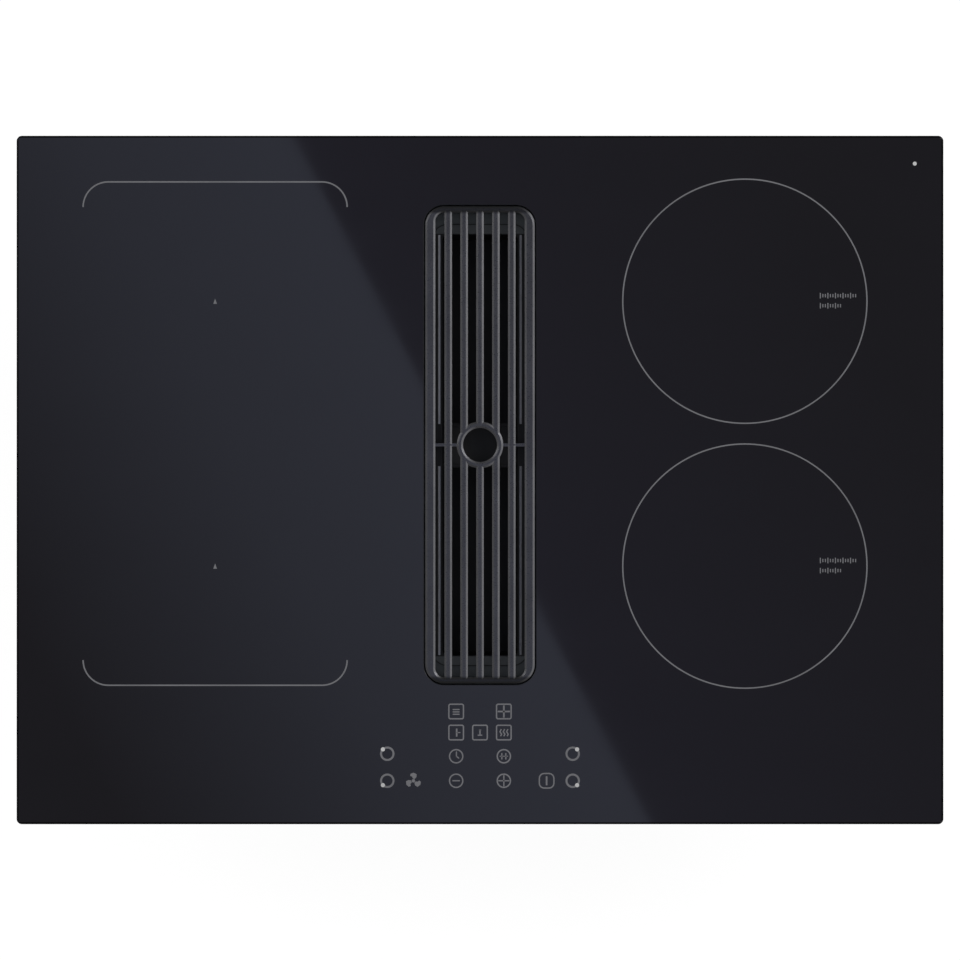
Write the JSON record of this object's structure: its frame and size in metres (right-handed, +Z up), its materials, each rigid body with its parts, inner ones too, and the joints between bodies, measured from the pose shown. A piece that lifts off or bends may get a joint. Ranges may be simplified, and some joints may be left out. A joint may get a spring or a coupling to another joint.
{
  "type": "downdraft induction cooktop",
  "caption": "Rectangular black glass cooktop with a sunk central air intake under a barred grille, over an electronics pan and a blower with a flat rear outlet.",
  "frame": {"origin": "centre of the glass in plan, on the worktop plane, which is the underside of the sealing tape", "axes": "+X to the user's right along the glass's long side, +Y to the back of the worktop, +Z up"},
  "size_m": [0.7, 0.52, 0.212],
  "materials": {
    "black_glass": "polished black glass ceramic, ground edge",
    "seal_foam": "soft black foam",
    "painted_steel": "black powder coat",
    "black_plastic": "fine black grain",
    "grey_plastic": "moulded grey",
    "white_plastic": "moulded heat-resistant white",
    "grille_metal": "satin black coated casting",
    "rubber": "black rubber",
    "steel": "brushed stainless",
    "galvanised": "zinc-coated sheet",
    "copper": "enamelled copper strand",
    "ferrite": "sintered dark grey",
    "mica": "pressed mica",
    "aluminium": "mill finish",
    "circuit_board": "green solder mask",
    "motor_paint": "grey painted can"
  },
  "bodies": {
    "hob": {"glass_top": "black_glass", "worktop_seal": "seal_foam", "glass_frame": "painted_steel", "inlet_collar": "black_plastic", "intake_gasket": "seal_foam", "base_pan": "galvanised", "coil_rear_left": "copper", "coil_rear_right": "copper", "coil_front_left": "copper", "coil_front_right": "copper", "coil_carrier_rear_left": "white_plastic", "coil_carrier_rear_right": "white_plastic", "coil_carrier_front_left": "white_plastic", "coil_carrier_front_right": "white_plastic", "ferrite_bars": "ferrite", "zone_sensors": "white_plastic", "insulation_sheet_left": "mica", "coil_bridge_left": "aluminium", "power_board_left": "circuit_board", "heat_sink_left": "aluminium", "fan_housing_left": "black_plastic", "insulation_sheet_right": "mica", "coil_bridge_right": "aluminium", "power_board_right": "circuit_board", "heat_sink_right": "aluminium", "fan_housing_right": "black_plastic", "mains_board": "circuit_board", "touch_board": "circuit_board", "touch_pads": "rubber", "touch_tray": "white_plastic", "suction_shaft": "black_plastic", "crossover_duct": "grey_plastic", "scroll_cover": "grey_plastic", "scroll_casing": "grey_plastic", "blower_motor": "motor_paint", "motor_bushes": "rubber", "outlet_spigot": "grey_plastic", "clamp_brackets": "galvanised", "clamp_screws": "steel", "terminal_cover": "black_plastic", "terminal_block": "white_plastic", "cable_gland": "black_plastic", "case_screws": "steel"},
    "tray": {"drip_tray": "black_plastic"},
    "filter": {"filter_frame": "painted_steel", "filter_mesh": "painted_steel", "filter_handle": "black_plastic"},
    "grille": {"grille": "grille_metal", "grille_pads": "rubber"},
    "blower_wheel": {"impeller": "black_plastic", "motor_spindle": "steel"},
    "fan_left": {"fan_rotor_left": "black_plastic"},
    "fan_right": {"fan_rotor_right": "black_plastic"},
    "flap_upper": {"outlet_flap_upper": "black_plastic"},
    "flap_lower": {"outlet_flap_lower": "black_plastic"},
    "claw_rear_left": {"clamp_claw_rear_left": "galvanised"},
    "claw_rear_right": {"clamp_claw_rear_right": "galvanised"},
    "claw_front_left": {"clamp_claw_front_left": "galvanised"},
    "claw_front_right": {"clamp_claw_front_right": "galvanised"}
  },
  "joints": [
    {"name": "drip_tray_lift", "type": "slide", "parent": "hob", "child": "tray", "axis": [0, 0, 1], "range_m": [0, 0.225]},
    {"name": "filter_lift", "type": "slide", "parent": "tray", "child": "filter", "axis": [0, 0, 1], "range_m": [0, 0.1]},
    {"name": "grille_lift", "type": "slide", "parent": "filter", "child": "grille", "axis": [0, 0, 1], "range_m": [0, 0.03]},
    {"name": "impeller_spin", "type": "hinge", "parent": "hob", "child": "blower_wheel", "pos_m": [0.158, -0.025, -0.14], "axis": [0, 0, 1], "continuous": true},
    {"name": "fan_left_spin", "type": "hinge", "parent": "hob", "child": "fan_left", "pos_m": [-0.199, 0.168, -0.04], "axis": [0, 0, 1], "continuous": true},
    {"name": "fan_right_spin", "type": "hinge", "parent": "hob", "child": "fan_right", "pos_m": [0.199, 0.168, -0.04], "axis": [0, 0, 1], "continuous": true},
    {"name": "flap_upper_swing", "type": "hinge", "parent": "hob", "child": "flap_upper", "pos_m": [0.191, 0.1993, -0.092], "axis": [1, 0, 0], "range_deg": [0, 75]},
    {"name": "flap_lower_swing", "type": "hinge", "parent": "hob", "child": "flap_lower", "pos_m": [0.191, 0.1993, -0.1325], "axis": [1, 0, 0], "range_deg": [0, 75]},
    {"name": "claw_rear_left_swing", "type": "hinge", "parent": "hob", "child": "claw_rear_left", "pos_m": [-0.315, 0.165, -0.042], "axis": [0, 0, 1], "range_deg": [-90, 0]},
    {"name": "claw_rear_right_swing", "type": "hinge", "parent": "hob", "child": "claw_rear_right", "pos_m": [0.315, 0.165, -0.042], "axis": [0, 0, 1], "range_deg": [0, 90]},
    {"name": "claw_front_left_swing", "type": "hinge", "parent": "hob", "child": "claw_front_left", "pos_m": [-0.315, -0.165, -0.042], "axis": [0, 0, 1], "range_deg": [0, 90]},
    {"name": "claw_front_right_swing", "type": "hinge", "parent": "hob", "child": "claw_front_right", "pos_m": [0.315, -0.165, -0.042], "axis": [0, 0, 1], "range_deg": [-90, 0]}
  ]
}
